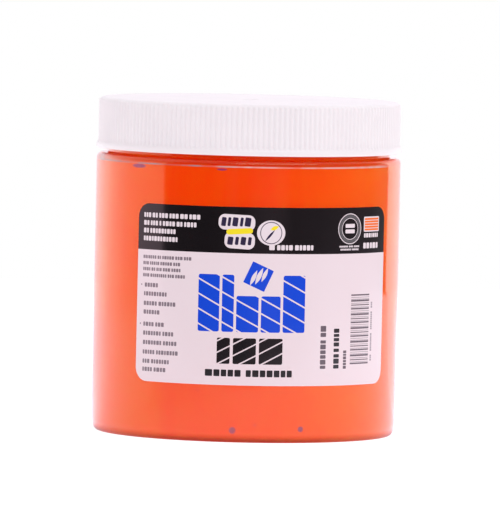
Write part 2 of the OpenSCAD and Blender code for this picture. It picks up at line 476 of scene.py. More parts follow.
INK_SSS = 1.0
MAT_PET = clear_plastic()
MAT_INK = ink_paste()
MAT_CAP = moulded_white()
MAT_FOAM = foam()
MAT_FILM = printed("label_film", (0.815, 0.685, 0.745), rough=0.12, spec=0.45, vary=0.008)
MAT_BLACK = printed("print_black", (0.0085, 0.0065, 0.0078), rough=0.11, spec=0.45, vary=0.12)
MAT_WHITE = printed("print_white", (0.80, 0.69, 0.75), rough=0.14, spec=0.45, vary=0.01)
MAT_BLUE = printed("print_blue", (0.0040, 0.062, 0.66), rough=0.13, spec=0.45, vary=0.04)
MAT_YELLOW = printed("print_yellow", (0.90, 0.72, 0.02), rough=0.14, spec=0.45, vary=0.03)
MAT_ORANGE = printed("print_orange", (0.90, 0.16, 0.02), rough=0.14, spec=0.45, vary=0.03)
MAT_GREY = printed("print_grey", (0.135, 0.10, 0.125), rough=0.14, spec=0.45, vary=0.05)

MAT_RING = printed("print_ring_grey", (0.115, 0.105, 0.115), rough=0.14, spec=0.45, vary=0.05)
MAT_TEXT = printed("print_text_grey", (0.22, 0.17, 0.205), rough=0.14, spec=0.45, vary=0.05)
MAT_PALE = printed("print_pale", (0.36, 0.30, 0.34), rough=0.14, spec=0.45, vary=0.04)
MAT_INKY = printed("print_inky", (0.030, 0.022, 0.060), rough=0.14, spec=0.45, vary=0.08)


# ---------------------------------------------------------------------------------------------------------------
# Jar
# ---------------------------------------------------------------------------------------------------------------
def build_jar():
    # Two mould parting lines: a fine raised line up each side, so extra columns there
    seams = [math.radians(-90 - 17.5), math.radians(90 - 17.5)]
    base = np.arange(360) * 2 * math.pi / 360
    extra = []
    for s in seams:
        extra += [s - 0.0040, s - 0.0022, s, s + 0.0022, s + 0.0040]
    theta = np.unique(np.round(np.mod(np.concatenate([base, extra]), 2 * math.pi), 7))
    seam = np.zeros(len(theta))
    for s in seams:
        d = np.abs((theta - s + math.pi) % (2 * math.pi) - math.pi)
        seam = np.maximum(seam, np.clip(1 - d / 0.0030, 0, 1))
    L = Lathe()

    def rev(points, seam_mm=0.0):
        for r, z in points:
            L.ring(theta, r + seam * seam_mm, z)

    # outside, from the middle of the base
    L.apex(PUSH_UP + 0.25)
    for r in (0.8, 1.4):
        L.ring(theta, r, PUSH_UP + 0.25 - 0.02 * r)
    for r in (1.9, 2.3):                                       # gate mark
        L.ring(theta, r, PUSH_UP * (1 - (r / RING_IN) ** 2) + (0.08 if r < 2 else 0.0))
    for i in range(1, 16):
        r = 2.3 + (RING_IN - 1.4 - 2.3) * i / 15
        L.ring(theta, r, PUSH_UP * (1 - (r / RING_IN) ** 2))
    # small blend between the pushed-up base and the ring it stands on
    for i in range(1, 7):
        t = i / 6
        r = RING_IN - 1.4 + 1.9 * t
        z0 = PUSH_UP * (1 - ((RING_IN - 1.4) / RING_IN) ** 2)
        L.ring(theta, r, z0 * (1 - t) ** 2)
    rev([(RING_IN + 1.2, 0), (R - HEEL_W - 0.6, 0)])
    for a in (0, 3, 6, 9, 12, 16, 20, 25, 31, 38, 46, 55, 65, 76, 90):
        w = math.radians(a)
        rev([(R - HEEL_W + HEEL_W * math.sin(w), HEEL_H - HEEL_H * math.cos(w))], 0.0)
    for i in range(1, 12):
        rev([(R, HEEL_H + (SHOULDER_Z - SHOULDER_R - 0.8 - HEEL_H) * i / 12)], 0.03)
    rev([(R, SHOULDER_Z - SHOULDER_R - 0.8), (R, SHOULDER_Z - SHOULDER_R - 0.12)], 0.03)
    rev(arc(R - SHOULDER_R, SHOULDER_Z - SHOULDER_R, SHOULDER_R, 0, 90, 12), 0.02)
    rev([(NECK_R + 0.9, SHOULDER_Z)])
    rev(arc(NECK_R + 0.5, SHOULDER_Z + 0.5, 0.5, 270, 180, 6))
    # neck with its thread
    z0, z1 = SHOULDER_Z + 0.62, JAR_H - 0.5
    zs = np.arange(z0, z1, 0.125)
    for z in zs:
        h = thread_height(theta, z, lambda d: THREAD_LOW + PITCH * d / 360, 0, 360, 1.20, 0.55, 26)
        L.ring(theta, NECK_R + 1.15 * h, z)
    rev(arc(NECK_R - 0.4, JAR_H - 0.4, 0.4, 0, 90, 6))
    rev([(NECK_R - 0.55, JAR_H), (BORE_R + 0.55, JAR_H)])
    rev(arc(BORE_R + 0.4, JAR_H - 0.4, 0.4, 90, 180, 6))
    rev([(BORE_R, JAR_H - 0.55)])
    for i in range(1, 6):
        rev([(BORE_R, JAR_H - 0.55 + (SHOULDER_IN_Z + 0.8 - JAR_H + 0.55) * i / 6)])
    # inside, downwards
    rev([(BORE_R, SHOULDER_IN_Z + 0.92)])
    rev(arc(BORE_R + 0.8, SHOULDER_IN_Z + 0.8, 0.8, 180, 270, 7))
    q = SHOULDER_IN_R
    rev([(RI - q - 0.15, SHOULDER_IN_Z)])
    rev(arc(RI - q, SHOULDER_IN_Z - q, q, 90, 0, 8))
    rev([(RI, SHOULDER_IN_Z - q - 0.15)])
    for i in range(1, 12):
        rev([(RI, SHOULDER_IN_Z - q - 0.15 + (FLOOR_T + HEEL_IN + 0.3 - SHOULDER_IN_Z + q) * i / 12)])
    rev([(RI, FLOOR_T + HEEL_IN + 0.15)])
    rev(arc(RI - HEEL_IN, FLOOR_T + HEEL_IN, HEEL_IN, 0, -90, 14))
    for i in range(15, 0, -1):
        r = RING_IN * i / 15
        L.ring(theta, r, FLOOR_T + PUSH_UP * (1 - (r / RING_IN) ** 2))
    L.apex(FLOOR_T + PUSH_UP)
    ob = L.mesh("jar_body", MAT_PET)
    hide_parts("jar")
    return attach(ob, "jar")


# ---------------------------------------------------------------------------------------------------------------
# Ink
# ---------------------------------------------------------------------------------------------------------------
def build_ink():
    g = -0.05                                                   # wets the wall, so no air gap shows
    theta = np.arange(360) * 2 * math.pi / 360
    L = Lathe()
    L.apex(FLOOR_T + g + PUSH_UP)
    for i in range(1, 13):
        r = RING_IN * i / 12
        L.ring(theta, r, FLOOR_T + g + PUSH_UP * (1 - (r / RING_IN) ** 2))
    pts = arc(RI - HEEL_IN, FLOOR_T + HEEL_IN, HEEL_IN - g, -90, 0, 14) + [(RI - g, FLOOR_T + HEEL_IN + 0.3)]
    q = SHOULDER_IN_R
    pts += [(RI - g, FLOOR_T + HEEL_IN + 0.3 + (SHOULDER_IN_Z - q - 0.6 - FLOOR_T - HEEL_IN) * i / 10) for i in range(1, 11)]
    pts += arc(RI - q, SHOULDER_IN_Z - q, q - g, 0, 90, 8)
    pts += arc(BORE_R + 0.8, SHOULDER_IN_Z + 0.8, 0.8 + g, 270, 180, 7)
    pts += [(BORE_R - g, SHOULDER_IN_Z + 1.2), (BORE_R - g, INK_LEVEL - 1.2)]
    for r, z in pts:
        L.ring(theta, r, z)
    # a thin smear left on the wall above the surface, then the folded top
    edge = 0.35 * np.sin(3 * theta + 0.6) + 0.22 * np.sin(7 * theta + 2.0) + 0.12 * np.sin(13 * theta)
    L.ring(theta, BORE_R - g, INK_LEVEL - 0.5 + 0.4 * edge)
    L.ring(theta, BORE_R - 0.10, INK_LEVEL - 0.38 + 0.4 * edge)
    L.ring(theta, BORE_R - 0.35, INK_LEVEL - 0.60 + 0.35 * edge)
    n = 44
    for i in range(n):
        r = (BORE_R - 0.9) * (1 - i / n)
        w = smoothstep(BORE_R - r, 0.2, 7.0)
        x, y = r * np.cos(theta), r * np.sin(theta)
        ph = theta * 2 + r * 0.42
        fold = np.cos(ph) * 0.5 + 0.5
        z = (INK_LEVEL - 0.75
             + w * (0.95 * fold ** 2.2 * smoothstep(r, 0.0, 9.0)
                    + 0.28 * np.sin(3 * theta - r * 0.25 + 1.3) * smoothstep(r, 0, 12)
                    + 0.12 * np.sin(0.9 * x + 0.4 * y) + 0.10 * np.sin(0.7 * y - 0.5 * x + 2))
             + 1.5 * np.exp(-((x - 1.2) ** 2 + (y + 0.8) ** 2) / 9.0))
        L.ring(theta, r, z)
    L.apex(INK_LEVEL - 0.75 + 1.25)
    ob = L.mesh("ink_fill", MAT_INK)
    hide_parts("ink")
    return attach(ob, "jar")


# ---------------------------------------------------------------------------------------------------------------
# Cap and liner
# ---------------------------------------------------------------------------------------------------------------
def build_cap():
    nf = RIBS * 8
    fine = (np.arange(nf) + 0.0) * 2 * math.pi / nf
    coarse = fine[::4]
    phase = (fine * RIBS / (2 * math.pi)) % 1.0
    rib = (0.5 - 0.5 * np.cos(2 * math.pi * phase)) ** 0.75
    L = Lathe()
    # top panel with its gate recess
    L.apex(CAP_TOP - 0.25 + 0.06)
    for r, z in [(0.5, -0.19), (0.75, -0.24), (1.0, -0.25), (1.8, -0.25), (2.0, -0.24), (2.15, -0.17), (2.28, -0.06),
                 (2.4, -0.01), (2.6, 0.0), (4, 0), (12, 0), (22, 0), (30, 0), (VALLEY_R - 1.3, 0), (VALLEY_R - 1.02, 0)]:
        L.ring(coarse, r, CAP_TOP + z)
    # rounded edge, then the ribs
    e = 0.9
    for k in range(11):
        a = math.radians(90 - 90 * k / 10)
        r = VALLEY_R - e + e * math.cos(a)
        z = CAP_TOP - e + e * math.sin(a)
        L.ring(fine, r + RIB_DEPTH * rib * smoothstep(k / 10, 0.35, 1.0), z)
    zt, zb = CAP_TOP - e, SKIRT_Z + BEAD_H
    for z in (zt - 0.15, zt - 0.6, zt - 2.2, zt - 4.0, zt - 5.8, zb + 0.9, zb + 0.35):
        L.ring(fine, VALLEY_R + RIB_DEPTH * rib, z)
    # bead: the ribs run out on its upper bevel
    for dz, base, amp in ((0.12, 0.02, 1.0), (0.0, 0.06, 0.95), (-0.12, 0.14, 0.75), (-0.26, 0.27, 0.45), (-0.42, 0.42, 0.18),
                          (-0.58, 0.56, 0.0), (-0.70, 0.645, 0.0), (-0.80, 0.685, 0.0), (-0.92, 0.70, 0.0), (-1.05, 0.70, 0.0)):
        L.ring(fine, VALLEY_R + base + RIB_DEPTH * rib * amp, zb + dz)
    for r, dz in ((BEAD_R, 0.42), (BEAD_R - 0.004, 0.32), (BEAD_R - 0.06, 0.16), (BEAD_R - 0.17, 0.05), (BEAD_R - 0.32, 0.0),
                  (BEAD_R - 0.5, 0.0)):
        L.ring(fine, r, SKIRT_Z + dz)
    # bottom edge, then the inside of the skirt with its thread
    for r, dz in ((SKIRT_IN + 0.45, 0.0), (SKIRT_IN + 0.28, 0.02), (SKIRT_IN + 0.12, 0.10), (SKIRT_IN + 0.03, 0.22), (SKIRT_IN, 0.4)):
        L.ring(coarse, r, SKIRT_Z + dz)
    low = THREAD_LOW - 1.63
    z_in = CAP_TOP - CAP_TOP_T
    for z in np.arange(SKIRT_Z + 0.5, z_in - 0.45, 0.135):
        h = thread_height(coarse, z, lambda d: low + PITCH * d / 360, 40, 380, 1.05, 0.45, 26)
        L.ring(coarse, SKIRT_IN - (SKIRT_IN - CAP_CREST) * h, z)
    for r, dz in ((SKIRT_IN, -0.35), (SKIRT_IN - 0.03, -0.2), (SKIRT_IN - 0.12, -0.06), (SKIRT_IN - 0.28, 0.0), (SKIRT_IN - 0.6, 0.0)):
        L.ring(coarse, r, z_in + dz)
    for r in (30, 22, 12, 4):
        L.ring(coarse, r, z_in)
    L.apex(z_in)
    ob = L.mesh("cap_shell", MAT_CAP)
    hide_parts("cap")
    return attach(ob, "cap")


def build_liner():
    theta = np.arange(360) * 2 * math.pi / 360
    L = Lathe()
    L.apex(LINER_LO)
    for r in (6, 14, 22, 28, 31, 31.6):
        L.ring(theta, r, LINER_LO)
    for r, dz in ((31.8, 0.0), (32.1, 0.03), (33.2, 0.03), (33.6, 0.0), (LINER_R - 0.4, 0.0), (LINER_R - 0.12, 0.03),
                  (LINER_R - 0.02, 0.14), (LINER_R, 0.3), (LINER_R, LINER_HI - LINER_LO - 0.3),
                  (LINER_R - 0.02, LINER_HI - LINER_LO - 0.14), (LINER_R - 0.12, LINER_HI - LINER_LO - 0.03),
                  (LINER_R - 0.4, LINER_HI - LINER_LO)):
        L.ring(theta, r, LINER_LO + dz)
    for r in (28, 20, 10):
        L.ring(theta, r, LINER_HI)
    L.apex(LINER_HI)
    ob = L.mesh("liner_disc", MAT_FOAM)
    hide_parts("cap_liner")
    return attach(ob, "liner")


# ---------------------------------------------------------------------------------------------------------------
# Label: film and print, each shape a thin slab wrapped on the wall
# ---------------------------------------------------------------------------------------------------------------
def round_rect(x0, z0, x1, z1, r=0.0, seg=4):
    r = min(r, (x1 - x0) / 2 * 0.999, (z1 - z0) / 2 * 0.999)
    if r <= 0.001:
        return [(x0, z0), (x1, z0), (x1, z1), (x0, z1)]
    return (arc(x1 - r, z0 + r, r, -90, 0, seg) + arc(x1 - r, z1 - r, r, 0, 90, seg)
            + arc(x0 + r, z1 - r, r, 90, 180, seg) + arc(x0 + r, z0 + r, r, 180, 270, seg))


def turned(poly, deg, about=None):
    cx, cz = about or (sum(p[0] for p in poly) / len(poly), sum(p[1] for p in poly) / len(poly))
    c, s = math.cos(math.radians(deg)), math.sin(math.radians(deg))
    return [(cx + (x - cx) * c - (z - cz) * s, cz + (x - cx) * s + (z - cz) * c) for x, z in poly]


def ring_quads(cx, cz, r0, r1, n=40):
    out = []
    for i in range(n):
        a, b = 2 * math.pi * i / n, 2 * math.pi * (i + 1) / n
        out.append([(cx + r0 * math.cos(a), cz + r0 * math.sin(a)), (cx + r1 * math.cos(a), cz + r1 * math.sin(a)),
                    (cx + r1 * math.cos(b), cz + r1 * math.sin(b)), (cx + r0 * math.cos(b), cz + r0 * math.sin(b))])
    return out


def wrapped(name, polys, t0, t1, material, step=0.8):
    """Closed slabs from r = R + t0 to R + t1 with the outlines polys, given as (distance round the wall, height)."""
    bm = bmesh.new()
    cache = {}

    def vert(p):
        key = (round(p[0], 5), round(p[1], 5))
        if key not in cache:
            cache[key] = bm.verts.new((p[0], 0.0, p[1]))
        return cache[key]

    for poly in polys:
        vs = []
        for p in poly:
            v = vert(p)
            if not vs or (v is not vs[-1] and v is not vs[0]):
                vs.append(v)
        if len(vs) >= 3:
            try:
                bm.faces.new(vs)
            except ValueError:
                pass
    lo = min(v.co.x for v in bm.verts)
    hi = max(v.co.x for v in bm.verts)
    k = math.ceil(lo / step)
    while k * step < hi:
        bmesh.ops.bisect_plane(bm, geom=bm.verts[:] + bm.edges[:] + bm.faces[:], plane_co=(k * step, 0, 0),
                               plane_no=(1, 0, 0), dist=1e-5)
        k += 1
    made = bmesh.ops.extrude_face_region(bm, geom=bm.faces[:])
    moved = {v for v in made["geom"] if isinstance(v, bmesh.types.BMVert)}
    for v in bm.verts:
        r = R + (t1 if v in moved else t0)
        a = v.co.x / R
        v.co = Vector((r * math.sin(a), -r * math.cos(a), v.co.z)) * MM
    bmesh.ops.recalc_face_normals(bm, faces=bm.faces)
    me = bpy.data.meshes.new(name)
    bm.to_mesh(me)
    bm.free()
    me.polygons.foreach_set("use_smooth", [True] * len(me.polygons))
    me.set_sharp_from_angle(angle=math.radians(35))
    me.materials.append(material)
    ob = bpy.data.objects.new(name, me)
    bpy.context.scene.collection.objects.link(ob)
    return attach(ob, "jar")


def bar(x0, z0, x1, z1, r=0.16):
    return round_rect(x0, z0, x1, z1, r, 3)


def cells(length, h, gap):
    """A word as a run of small plain blocks of uneven width: (start, end) along the line."""
    n = max(1, round(length / (0.74 * h)))
    if n == 1:
        return [(0.0, length)]
    weights = [1.0 + 0.22 * math.sin(2.4 * k + 1.7 * length) for k in range(n)]
    scale = (length - gap * (n - 1)) / sum(weights)
    out, at = [], 0.0
    for w in weights:
        out.append((at, at + w * scale))
        at += w * scale + gap
    return out


def words(x, z, h, lengths, gap=0.42):
    """A line of plain blocks in groups, one group for each length, from x to the right, centred on height z."""
    out = []
    for w in lengths:
        out += [bar(x + a, z - h / 2, x + b, z + h / 2, h * 0.16) for a, b in cells(w, h, 0.17 * h)]
        x += w + gap
    return out


def words_up(x, z, h, lengths, gap=0.5):
    """The same, running upwards from z and centred on x."""
    out = []
    for w in lengths:
        out += [bar(x - h / 2, z + a, x + h / 2, z + b, h * 0.12) for a, b in cells(w, h, 0.15 * h)]
        z += w + gap
    return out


def clip(poly, nx, nz, d, keep_above):
    """The part of a convex outline on one side of the line nx * x + nz * z = d."""
    side = [(nx * x + nz * z - d) * (1 if keep_above else -1) for x, z in poly]
    out = []
    for k in range(len(poly)):
        a, b, sa, sb = poly[k], poly[(k + 1) % len(poly)], side[k], side[(k + 1) % len(poly)]
        if sa >= 0:
            out.append(a)
        if (sa > 0) != (sb > 0) and abs(sa - sb) > 1e-9:
            t = sa / (sa - sb)
            if 1e-6 < t < 1 - 1e-6:
                out.append((a[0] + (b[0] - a[0]) * t, a[1] + (b[1] - a[1]) * t))
    return out if len(out) >= 3 else []


def carved(poly, deg, pitch, cut, offset=0.0):
    """A convex outline crossed by parallel cuts, like a block cut with a gouge."""
    nx, nz = math.cos(math.radians(deg)), math.sin(math.radians(deg))
    ds = [nx * x + nz * z for x, z in poly]
    out = []
    k = math.floor((min(ds) - offset) / pitch)
    while offset + k * pitch < max(ds):
        strip = clip(poly, nx, nz, offset + k * pitch + cut / 2, True)
        strip = clip(strip, nx, nz, offset + (k + 1) * pitch - cut / 2, False) if strip else []
        if strip:
            out.append(strip)
        k += 1
    return out


def leaf(cx, cz, length, width, deg, n=10):
    """A gouge mark: a narrow lens."""
    top = [(length * (i / n - 0.5), width / 2 * math.sin(math.pi * i / n)) for i in range(n + 1)]
    low = [(x, -z) for x, z in reversed(top[1:-1])]
    return turned([(cx + x, cz + z) for x, z in top + low], deg, about=(cx, cz))


# Print layers, as distances off the wall; every layer lies inside the label film's own thickness in the CAD model
FILM = (0.0, 0.060)
ON_FILM = (0.045, 0.070)
ON_BAND = (0.055, 0.082)
ON_PLATE = (0.070, 0.094)


def build_label():
    """The layout keeps the printed label's masses, and every word, mark and code on it is a plain shape."""
    hw, top = LABEL_W / 2, LABEL_Z + LABEL_H
    film = wrapped("label_film", [round_rect(-hw, LABEL_Z, hw, top, LABEL_R, 10)], *FILM, MAT_FILM)
    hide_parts("label")

    # black band across the top
    band_z = 44.45
    band = (arc(hw - LABEL_R, top - LABEL_R, LABEL_R, 0, 90, 10) + arc(-hw + LABEL_R, top - LABEL_R, LABEL_R, 90, 180, 10)
            + [(-hw, band_z), (hw, band_z)])
    wrapped("label_band", [band], *ON_FILM, MAT_BLACK)
    white = words(-32.2, 52.6, 1.12, (2.1, 1.5, 2.4, 2.4, 1.9, 2.7), 0.45)
    white += words(-32.2, 50.75, 1.12, (1.6, 2.1, 0.5, 3.3, 1.5, 3.1), 0.45)
    white += words(-32.2, 48.95, 1.12, (1.5, 7.1), 0.45)
    white += words(-32.2, 47.1, 1.12, (9.6,))
    white += words(-0.5, 45.95, 1.2, (1.3, 3.8, 4.6), 0.55)
    white += words(17.5, 46.15, 0.42, (2.6, 1.3, 1.7), 0.3) + words(17.8, 45.45, 0.42, (3.2, 2.2), 0.3)
    white += words(25.4, 48.65, 1.0, (2.5, 2.7), 0.3) + words(25.2, 46.25, 1.35, (2.2, 3.2), 0.3)
    # badge: two rings and two bars
    bx, bz = 20.65, 50.3
    white += ring_quads(bx, bz, 3.42, 3.62, 48) + ring_quads(bx, bz, 2.42, 2.56, 40)
    white += [bar(bx - 1.45, bz + 0.25, bx + 1.45, bz + 1.15, 0.2), bar(bx - 1.45, bz - 1.05, bx + 1.45, bz - 0.15, 0.2)]
    # colour panel frame, and the plates of the maker's panel
    white += [round_rect(25.25, 49.5, 31.3, 53.05, 0.3, 3)]
    white += [turned(round_rect(-12.5, 49.85, -3.9, 53.5, 1.5, 8), -2), turned(round_rect(-11.0, 45.5, -3.9, 49.35, 1.5, 8), -3)]
    white += [[(-0.1 + 3.35 * math.cos(2 * math.pi * k / 40), 49.35 + 2.95 * math.sin(2 * math.pi * k / 40)) for k in range(40)]]
    wrapped("label_white_print", white, *ON_BAND, MAT_WHITE)
    grey = ring_quads(bx, bz, 2.66, 3.32, 44)
    wrapped("label_badge_ring", grey, *ON_BAND, MAT_RING)
    wrapped("label_colour_panel", carved(round_rect(25.55, 49.8, 31.0, 52.75, 0.12, 2), 90, 0.62, 0.16, 0.1), *ON_PLATE, MAT_ORANGE)
    wrapped("label_yellow_print", [turned(round_rect(-10.6, 48.95, -4.4, 50.25, 0.6, 5), 4), leaf(0.7, 50.5, 2.2, 0.9, 24)],
            *ON_PLATE, MAT_YELLOW)
    panel = [turned(bar(x, 50.75, x + w, 52.85, 0.25), -7) for x, w in ((-11.8, 1.1), (-10.3, 0.7), (-9.2, 1.3), (-7.4, 0.7), (-6.3, 1.4))]
    panel += [turned(bar(x, 46.4, x + w, 48.3, 0.25), -7) for x, w in ((-10.3, 1.3), (-8.5, 0.8), (-7.2, 1.2), (-5.5, 0.8))]
    panel += ring_quads(-0.1, 49.35, 2.42, 2.60, 36) + [leaf(-0.4, 48.7, 3.6, 0.55, 50)]
    wrapped("label_panel_print", panel, *ON_PLATE, MAT_INKY)

    # blue print: tilted square and a row of five cut blocks
    square = turned(round_rect(-2.85 - 2.7, 39.1 - 2.7, -2.85 + 2.7, 39.1 + 2.7, 0.12, 2), -24.5)
    blue = [square]
    for x0, x1, h in ((-17.0, -11.9, 13.4), (-11.3, -8.5, 13.4), (-7.9, -2.7, 8.5), (-2.1, 2.5, 8.5), (3.1, 8.5, 13.4)):
        blue += carved(round_rect(x0, 26.0, x1, 26.0 + h, 0.45, 4), 62, 3.1, 0.34, 1.1)
    wrapped("label_blue_print", blue, *ON_FILM, MAT_BLUE)
    strokes = [leaf(-2.85 - 1.15, 39.1 - 0.3, 3.9, 0.95, 65.5), leaf(-2.85 + 0.15, 39.1 + 0.1, 4.3, 1.05, 65.5),
               leaf(-2.85 + 1.45, 39.1 + 0.4, 3.6, 0.9, 65.5)]
    wrapped("label_gouge_marks", strokes, *ON_BAND, MAT_WHITE)

    # black print under them
    black = []
    for x0, x1 in ((-12.3, -9.2), (-8.5, -3.1), (-2.4, 3.2)):
        black += carved(round_rect(x0, 18.5, x1, 24.6, 0.35, 4), 118, 2.4, 0.30, 0.4)
    x = -15.0
    for w in (1.75, 1.45, 1.3, 1.3, 1.45, -0.9, 1.2, 1.5, 1.3, 1.4, 1.35, 1.15, 1.25):
        if w > 0:
            black.append(bar(x, 15.55, x + w, 17.15, 0.2))
            x += w + 0.3
        else:
            x -= w
    black += words_up(17.25, 17.5, 1.6, (3.4, 0.8, 4.2), 0.5)
    wrapped("label_black_print", black, *ON_FILM, MAT_BLACK)

    # small print, a stripe panel where a code would be, and the lines that run up beside it
    small = []
    for z, lengths in ((42.75, (3.9, 1.0, 3.2, 1.9, 1.9)), (41.3, (1.7, 2.7, 3.2, 1.8)), (39.9, (2.2, 1.1, 1.5, 2.0, 2.4)),
                       (38.45, (1.9, 4.6, 1.7, 2.5))):
        small += words(-32.2, z, 0.80, lengths, 0.34)
    for z, lengths in ((36.15, (3.9,)), (34.1, (6.6,)), (31.85, (3.9, 4.6)), (29.8, (4.7,)), (26.95, (3.1, 2.4)),
                       (24.85, (5.2, 2.9)), (22.65, (5.4, 3.6)), (20.4, (3.5, 5.9)), (18.25, (2.1, 5.0)), (16.35, (2.9, 3.3))):
        small += words(-31.8 if z != 36.15 else -31.6, z, 1.0, lengths, 0.5)
    small += [bar(-32.75, 36.0, -32.4, 36.35, 0.15), bar(-32.9, 26.8, -32.55, 27.15, 0.15)]
    wrapped("label_small_print", small, *ON_FILM, MAT_TEXT)
    side = words_up(13.5, 17.5, 1.5, (6.7, 2.6), 0.8) + words_up(19.8, 17.4, 0.95, (4.3,))
    stripes, faint, z = [], [], 18.4
    for k in range(36):
        t = (0.34, 0.15, 0.24, 0.16, 0.40, 0.18, 0.15)[k % 7]
        (stripes if k % 7 in (0, 2, 4) else faint).append([(21.5, z), (27.9, z), (27.9, z + t), (21.5, z + t)])
        z += 0.46
    wrapped("label_stripes", stripes + side, *ON_FILM, MAT_GREY)
    wrapped("label_stripes_fine", faint + words_up(28.9, 19.0, 0.6, (1.4, 4.2, 4.2, 1.4), 0.9), *ON_FILM, MAT_PALE)


build_jar()
build_ink()
build_liner()
build_cap()
build_label()

# ---------------------------------------------------------------------------------------------------------------
# Stage: floor, surroundings, lamps and camera
# ---------------------------------------------------------------------------------------------------------------
CAM_AZ = math.radians(-9.1)
to_cam = Vector((math.sin(CAM_AZ), -math.cos(CAM_AZ), 0))
to_right = Vector((math.cos(CAM_AZ), math.sin(CAM_AZ), 0))


# Brightness mirrored from each direction round the horizon: (degrees to the right of the camera, radiance)
ROOM = [(-180, 1.0), (-165, 1.2), (-148, 1.62), (-134, 1.88), (-118, 1.85), (-100, 1.70), (-80, 1.60),
        (-67, 1.50), (-65.5, 0.12), (-50, 0.05), (-30, 0.04), (-22, 0.06), (-15, 0.12), (-10, 0.25), (-6, 0.10),
        (-1, 0.12), (3, 0.22), (12, 0.32), (20, 0.38), (28, 0.32), (34, 0.14), (45, 0.18), (55, 0.17),
        (75, 0.24), (95, 0.28), (105, 0.22), (118, 0.30), (131.5, 0.30), (133.5, 2.0), (145, 1.72), (155, 1.48), (165, 1.2)]
AMBIENT = (0.835, 0.060)
FLOOR_R, FLOOR_GLOW, FLOOR_MIRROR = 0.60, 0.22, 1.72


def mirror_ring(nt, node, az):
    """Brightness of the room round the horizon, from an azimuth in radians, as ROOM gives it."""
    n = node("ShaderNodeMapRange")
    nt.links.new(az, n.inputs["Value"])
    for name, x in zip(("From Min", "From Max", "To Min", "To Max"), (-math.pi, math.pi, 0.0, 1.0)):
        n.inputs[name].default_value = x
    ramp = node("ShaderNodeValToRGB")
    cr = ramp.color_ramp
    cr.interpolation = "LINEAR"
    while len(cr.elements) > 1:
        cr.elements.remove(cr.elements[-1])
    for k, (deg, value) in enumerate(ROOM):
        el = cr.elements[0] if k == 0 else cr.elements.new((deg + 180) / 360)
        el.position = (deg + 180) / 360
        el.color = (value / 2.5, value / 2.5, value / 2.5, 1)
    nt.links.new(n.outputs["Result"], ramp.inputs["Fac"])
    out = node("ShaderNodeMath", operation="MULTIPLY")
    nt.links.new(ramp.outputs["Color"], out.inputs[0])
    out.inputs[1].default_value = 2.5
    return out.outputs[0]


def ring_tint(nt, node, az):
    """Colour of the room round the horizon: rosy walls in front and at the sides, neutral white behind the jar."""
    ab = node("ShaderNodeMath", operation="ABSOLUTE")
    nt.links.new(az, ab.inputs[0])
    n = node("ShaderNodeMapRange")
    nt.links.new(ab.outputs[0], n.inputs["Value"])
    for name, x in zip(("From Min", "From Max", "To Min", "To Max"), (0.0, math.pi, 0.0, 1.0)):
        n.inputs[name].default_value = x
    ramp = node("ShaderNodeValToRGB")
    cr = ramp.color_ramp
    for k, (deg, green, blue) in enumerate(((0, 0.70, 0.82), (100, 0.72, 0.84), (118, 0.86, 0.92), (134, 0.97, 1.0),
                                            (148, 1.0, 1.05), (170, 0.96, 1.05))):
        el = cr.elements[k] if k < 2 else cr.elements.new(deg / 180)
        el.position = deg / 180
        el.color = (1, green, blue, 1)
    nt.links.new(n.outputs["Result"], ramp.inputs["Fac"])
    return ramp.outputs["Color"]


